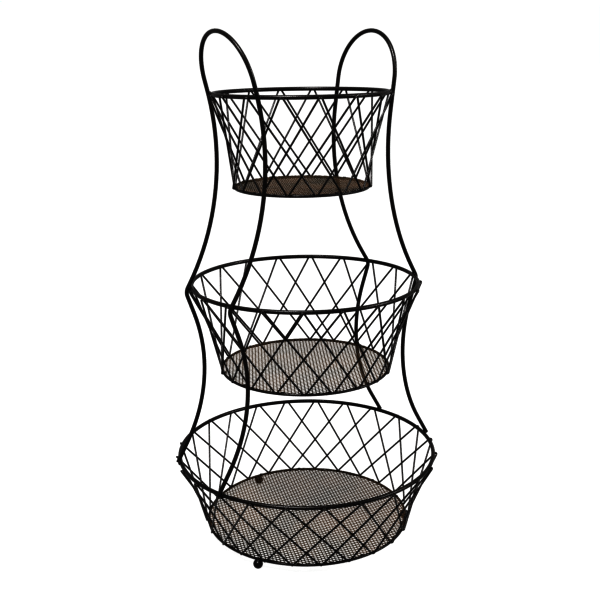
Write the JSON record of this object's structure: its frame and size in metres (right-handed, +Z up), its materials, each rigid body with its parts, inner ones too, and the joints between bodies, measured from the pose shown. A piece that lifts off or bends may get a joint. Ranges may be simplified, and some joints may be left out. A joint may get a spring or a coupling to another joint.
{
  "type": "tiered wire basket stand",
  "caption": "Free-standing stand of tapered round wire baskets, small above large, held between bent wire side frames whose tops form loop handles, on ball feet.",
  "frame": {"origin": "on the floor under the middle of the stand, at the level of the undersides of the ball feet", "axes": "+Z up; +X through the middle of the right handle loop, -X through the left one; +Y is horizontal, across the handles"},
  "size_m": [0.3191, 0.3191, 0.597],
  "materials": {
    "wire_paint": "black satin enamel or powder coat on mild steel wire, with slight runs and thicker film at the welds",
    "mesh_paint": "thin dark brown-black coat on fine steel mesh, worn slightly on the crowns of the wires"
  },
  "bodies": {
    "root": {"bottom_rim": "wire_paint", "bottom_base_ring": "wire_paint", "bottom_mesh_floor": "mesh_paint", "bottom_lattice_strand_1": "wire_paint", "bottom_lattice_strand_2": "wire_paint", "bottom_lattice_strand_3": "wire_paint", "bottom_lattice_strand_4": "wire_paint", "middle_rim": "wire_paint", "middle_base_ring": "wire_paint", "middle_mesh_floor": "mesh_paint", "middle_lattice_strand_1": "wire_paint", "middle_lattice_strand_2": "wire_paint", "middle_lattice_strand_3": "wire_paint", "middle_lattice_strand_4": "wire_paint", "top_rim": "wire_paint", "top_base_ring": "wire_paint", "top_mesh_floor": "mesh_paint", "top_lattice_strand_1": "wire_paint", "top_lattice_strand_2": "wire_paint", "top_lattice_strand_3": "wire_paint", "top_lattice_strand_4": "wire_paint", "left_frame_wire": "wire_paint", "right_frame_wire": "wire_paint", "ball_foot_1": "wire_paint", "ball_foot_2": "wire_paint", "ball_foot_3": "wire_paint"}
  },
  "joints": []
}
